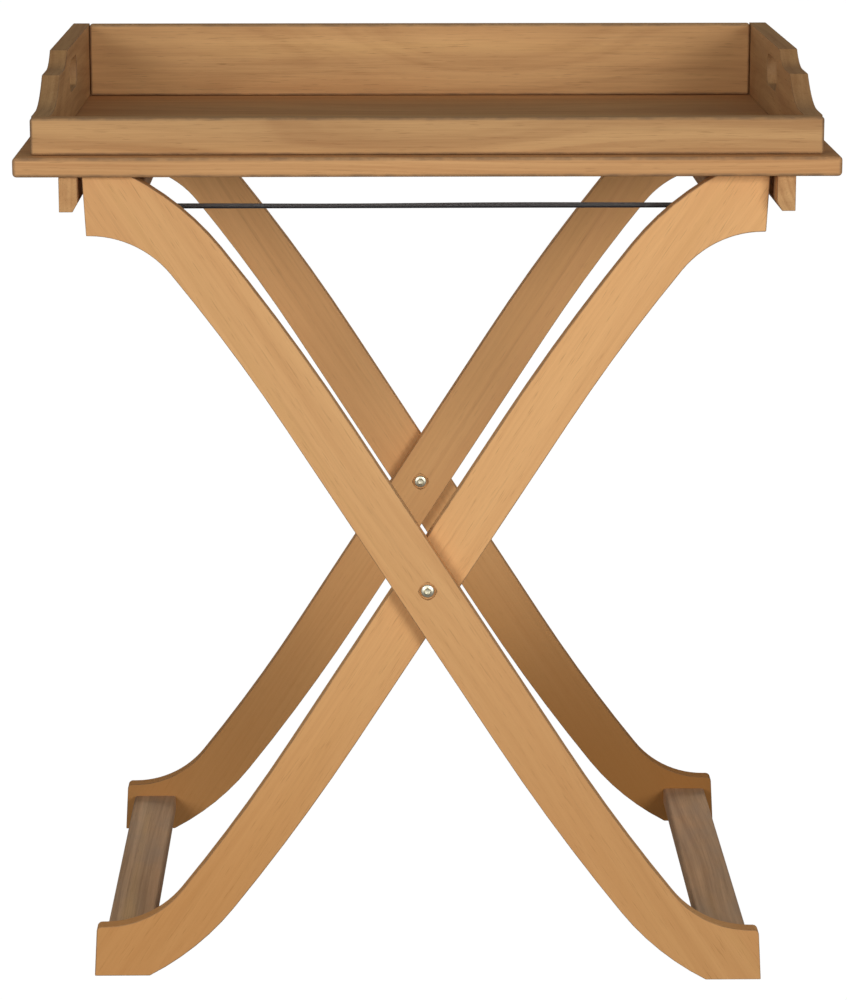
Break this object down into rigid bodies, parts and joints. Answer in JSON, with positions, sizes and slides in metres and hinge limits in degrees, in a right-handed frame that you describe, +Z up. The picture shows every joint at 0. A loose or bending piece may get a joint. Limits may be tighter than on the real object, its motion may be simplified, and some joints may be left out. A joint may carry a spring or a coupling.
{
  "type": "folding tray table",
  "caption": "Wooden butler's tray table: a tray with a scrolled gallery and hand slots, resting on a crossed folding stand held open by webbing straps.",
  "frame": {"origin": "on the floor, under the middle of the table", "axes": "+Z up, +X to the right across the tray's width, -Y towards the tray's low front rail"},
  "size_m": [0.65, 0.469, 0.7483],
  "materials": {
    "tray_wood": "oiled honey-brown hardwood, fine straight grain, satin",
    "stand_wood": "oiled honey-orange hardwood, straight grain, satin",
    "rail_wood": "greyer brown hardwood, dull",
    "dowel_wood": "plain pale beech",
    "nickel": "nickel plated, slightly dulled",
    "screw_steel": "zinc plated steel",
    "nylon": "black nylon",
    "webbing": "black woven polypropylene webbing"
  },
  "bodies": {
    "outer_frame": {"outer_leg_front": "stand_wood", "outer_leg_rear": "stand_wood", "outer_top_rail": "rail_wood", "outer_bottom_rail": "rail_wood", "pivot_bolt_front": "nickel", "pivot_bolt_rear": "nickel", "pivot_nut_front": "nickel", "pivot_nut_rear": "nickel", "pivot_washer_front": "nylon", "pivot_washer_rear": "nylon", "strap_front": "webbing", "strap_rear": "webbing", "strap_washer_front_left": "screw_steel", "strap_washer_rear_left": "screw_steel", "strap_screw_front_left": "screw_steel", "strap_screw_rear_left": "screw_steel"},
    "inner_frame": {"inner_leg_front": "stand_wood", "inner_leg_rear": "stand_wood", "inner_top_rail": "rail_wood", "inner_bottom_rail": "rail_wood", "strap_washer_front_right": "screw_steel", "strap_washer_rear_right": "screw_steel", "strap_screw_front_right": "screw_steel", "strap_screw_rear_right": "screw_steel"},
    "tray": {"tray_board": "tray_wood", "front_rail": "tray_wood", "back_panel": "tray_wood", "side_panel_left": "tray_wood", "side_panel_right": "tray_wood", "batten_left": "tray_wood", "batten_right": "tray_wood", "batten_screw_left_1": "screw_steel", "batten_screw_left_2": "screw_steel", "batten_screw_left_3": "screw_steel", "batten_screw_right_1": "screw_steel", "batten_screw_right_2": "screw_steel", "batten_screw_right_3": "screw_steel", "gallery_screw_front_1": "screw_steel", "gallery_screw_front_2": "screw_steel", "gallery_screw_front_3": "screw_steel", "gallery_screw_back_1": "screw_steel", "gallery_screw_back_2": "screw_steel", "gallery_screw_back_3": "screw_steel", "gallery_screw_left_1": "screw_steel", "gallery_screw_left_2": "screw_steel", "gallery_screw_right_1": "screw_steel", "gallery_screw_right_2": "screw_steel", "front_dowel_left_1": "dowel_wood", "front_dowel_left_2": "dowel_wood", "front_dowel_right_1": "dowel_wood", "front_dowel_right_2": "dowel_wood", "back_dowel_left_1": "dowel_wood", "back_dowel_left_2": "dowel_wood", "back_dowel_right_1": "dowel_wood", "back_dowel_right_2": "dowel_wood"}
  },
  "joints": [
    {"name": "fold", "type": "hinge", "parent": "outer_frame", "child": "inner_frame", "pos_m": [0, 0, 0.3318], "axis": [0, -1, 0], "range_deg": [0, 65.6], "deforming": ["strap_front", "strap_rear"]},
    {"name": "tray_lift", "type": "slide", "parent": "outer_frame", "child": "tray", "axis": [0, 0, 1], "range_m": [0, 0.33]}
  ],
  "couplings": [
    {"joint": "tray_lift", "follows": "fold", "m_per_rad": 0.284}
  ]
}
